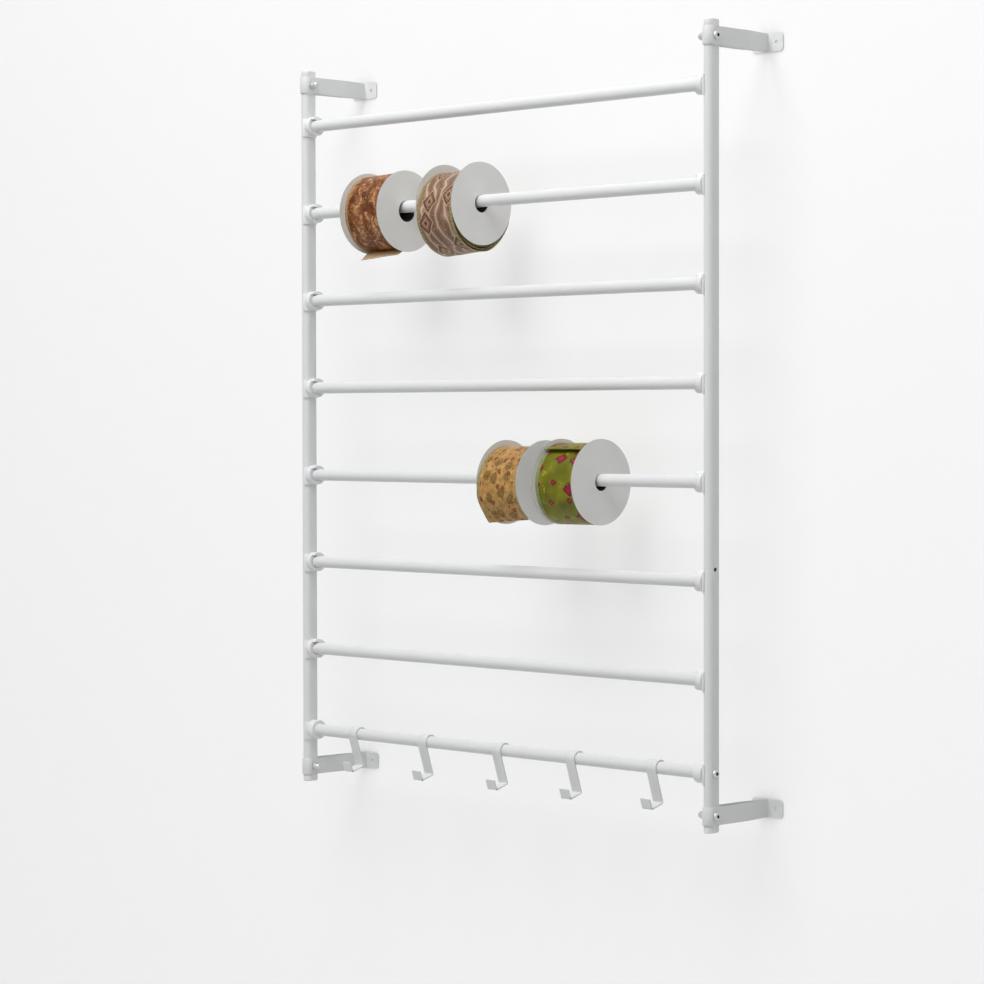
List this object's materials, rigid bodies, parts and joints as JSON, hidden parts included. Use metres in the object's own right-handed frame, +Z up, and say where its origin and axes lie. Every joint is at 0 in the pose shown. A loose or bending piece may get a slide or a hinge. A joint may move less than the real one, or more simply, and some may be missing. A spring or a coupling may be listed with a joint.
{
  "type": "ribbon spool dispenser",
  "caption": "Wall rack of white steel that dispenses ribbon: lift-out rods in slotted holders between two posts, with ribbon spools, and hooks on a fixed bottom rod.",
  "frame": {"origin": "on the wall plane, at the centre of the rectangle of outer screw holes in the four bracket feet", "axes": "+Y points into the wall, along the screws, so the rack stands off the wall towards -Y; +Z is up along the posts; +X runs to the right along the rods, seen from the front"},
  "size_m": [0.789, 0.1597, 0.982],
  "materials": {
    "white_steel": "white powder coat, satin",
    "white_plastic": "moulded, satin",
    "plated_steel": "bright zinc plate",
    "grey_card": "matt pressed card",
    "ribbon_a": "printed satin, rust brown with gold flecks",
    "ribbon_b": "printed satin, cream and brown with glitter",
    "ribbon_c": "printed satin, gold with brown dots",
    "ribbon_d": "printed satin, green with red dots"
  },
  "bodies": {
    "rack": {"left_post": "white_steel", "left_top_cap": "white_plastic", "left_bottom_cap": "white_plastic", "left_upper_bracket": "white_steel", "left_lower_bracket": "white_steel", "right_post": "white_steel", "right_top_cap": "white_plastic", "right_bottom_cap": "white_plastic", "right_upper_bracket": "white_steel", "right_lower_bracket": "white_steel", "bracket_bolts": "plated_steel", "cap_nuts": "plated_steel", "bottom_rod": "white_steel", "left_bottom_socket": "white_plastic", "right_bottom_socket": "white_plastic", "socket_screws": "plated_steel", "left_holder_1": "white_plastic", "left_holder_2": "white_plastic", "left_holder_3": "white_plastic", "left_holder_4": "white_plastic", "left_holder_5": "white_plastic", "left_holder_6": "white_plastic", "left_holder_7": "white_plastic", "right_holder_1": "white_plastic", "right_holder_2": "white_plastic", "right_holder_3": "white_plastic", "right_holder_4": "white_plastic", "right_holder_5": "white_plastic", "right_holder_6": "white_plastic", "right_holder_7": "white_plastic"},
    "rod_1": {"rod_1": "white_steel"},
    "rod_2": {"rod_2": "white_steel"},
    "rod_3": {"rod_3": "white_steel"},
    "rod_4": {"rod_4": "white_steel"},
    "rod_5": {"rod_5": "white_steel"},
    "rod_6": {"rod_6": "white_steel"},
    "rod_7": {"rod_7": "white_steel"},
    "spool_a": {"spool_a_left_flange": "grey_card", "spool_a_right_flange": "grey_card", "spool_a_core": "grey_card", "ribbon_a": "ribbon_a"},
    "spool_b": {"spool_b_left_flange": "grey_card", "spool_b_right_flange": "grey_card", "spool_b_core": "grey_card", "ribbon_b": "ribbon_b"},
    "spool_c": {"spool_c_left_flange": "grey_card", "spool_c_right_flange": "grey_card", "spool_c_core": "grey_card", "ribbon_c": "ribbon_c"},
    "spool_d": {"spool_d_left_flange": "grey_card", "spool_d_right_flange": "grey_card", "spool_d_core": "grey_card", "ribbon_d": "ribbon_d"},
    "hook_1": {"hook_1": "white_steel"},
    "hook_2": {"hook_2": "white_steel"},
    "hook_3": {"hook_3": "white_steel"},
    "hook_4": {"hook_4": "white_steel"},
    "hook_5": {"hook_5": "white_steel"}
  },
  "joints": [
    {"name": "rod_1_lift", "type": "slide", "parent": "rack", "child": "rod_1", "axis": [0, -0.9945, 0.1045], "range_m": [0, 0.022]},
    {"name": "rod_2_lift", "type": "slide", "parent": "rack", "child": "rod_2", "axis": [0, -0.9945, 0.1045], "range_m": [0, 0.022]},
    {"name": "rod_3_lift", "type": "slide", "parent": "rack", "child": "rod_3", "axis": [0, -0.9945, 0.1045], "range_m": [0, 0.022]},
    {"name": "rod_4_lift", "type": "slide", "parent": "rack", "child": "rod_4", "axis": [0, -0.9945, 0.1045], "range_m": [0, 0.022]},
    {"name": "rod_5_lift", "type": "slide", "parent": "rack", "child": "rod_5", "axis": [0, -0.9945, 0.1045], "range_m": [0, 0.022]},
    {"name": "rod_6_lift", "type": "slide", "parent": "rack", "child": "rod_6", "axis": [0, -0.9945, 0.1045], "range_m": [0, 0.022]},
    {"name": "rod_7_lift", "type": "slide", "parent": "rack", "child": "rod_7", "axis": [0, -0.9945, 0.1045], "range_m": [0, 0.022]},
    {"name": "spool_a_spin", "type": "hinge", "parent": "rod_2", "child": "spool_a", "pos_m": [-0.2072, -0.1055, 0.2875], "axis": [1, 0, 0], "continuous": true},
    {"name": "spool_b_spin", "type": "hinge", "parent": "rod_2", "child": "spool_b", "pos_m": [-0.06075, -0.1055, 0.2901], "axis": [1, 0, 0], "continuous": true},
    {"name": "spool_c_spin", "type": "hinge", "parent": "rod_5", "child": "spool_c", "pos_m": [0.05385, -0.1055, -0.0712], "axis": [1, 0, 0], "continuous": true},
    {"name": "spool_d_spin", "type": "hinge", "parent": "rod_5", "child": "spool_d", "pos_m": [0.15175, -0.1055, -0.0692], "axis": [1, 0, 0], "continuous": true},
    {"name": "hook_1_slide", "type": "slide", "parent": "rack", "child": "hook_1", "axis": [1, 0, 0], "range_m": [-0.055, 0.055]},
    {"name": "hook_2_slide", "type": "slide", "parent": "rack", "child": "hook_2", "axis": [1, 0, 0], "range_m": [-0.055, 0.055]},
    {"name": "hook_3_slide", "type": "slide", "parent": "rack", "child": "hook_3", "axis": [1, 0, 0], "range_m": [-0.055, 0.055]},
    {"name": "hook_4_slide", "type": "slide", "parent": "rack", "child": "hook_4", "axis": [1, 0, 0], "range_m": [-0.055, 0.055]},
    {"name": "hook_5_slide", "type": "slide", "parent": "rack", "child": "hook_5", "axis": [1, 0, 0], "range_m": [-0.055, 0.055]}
  ]
}
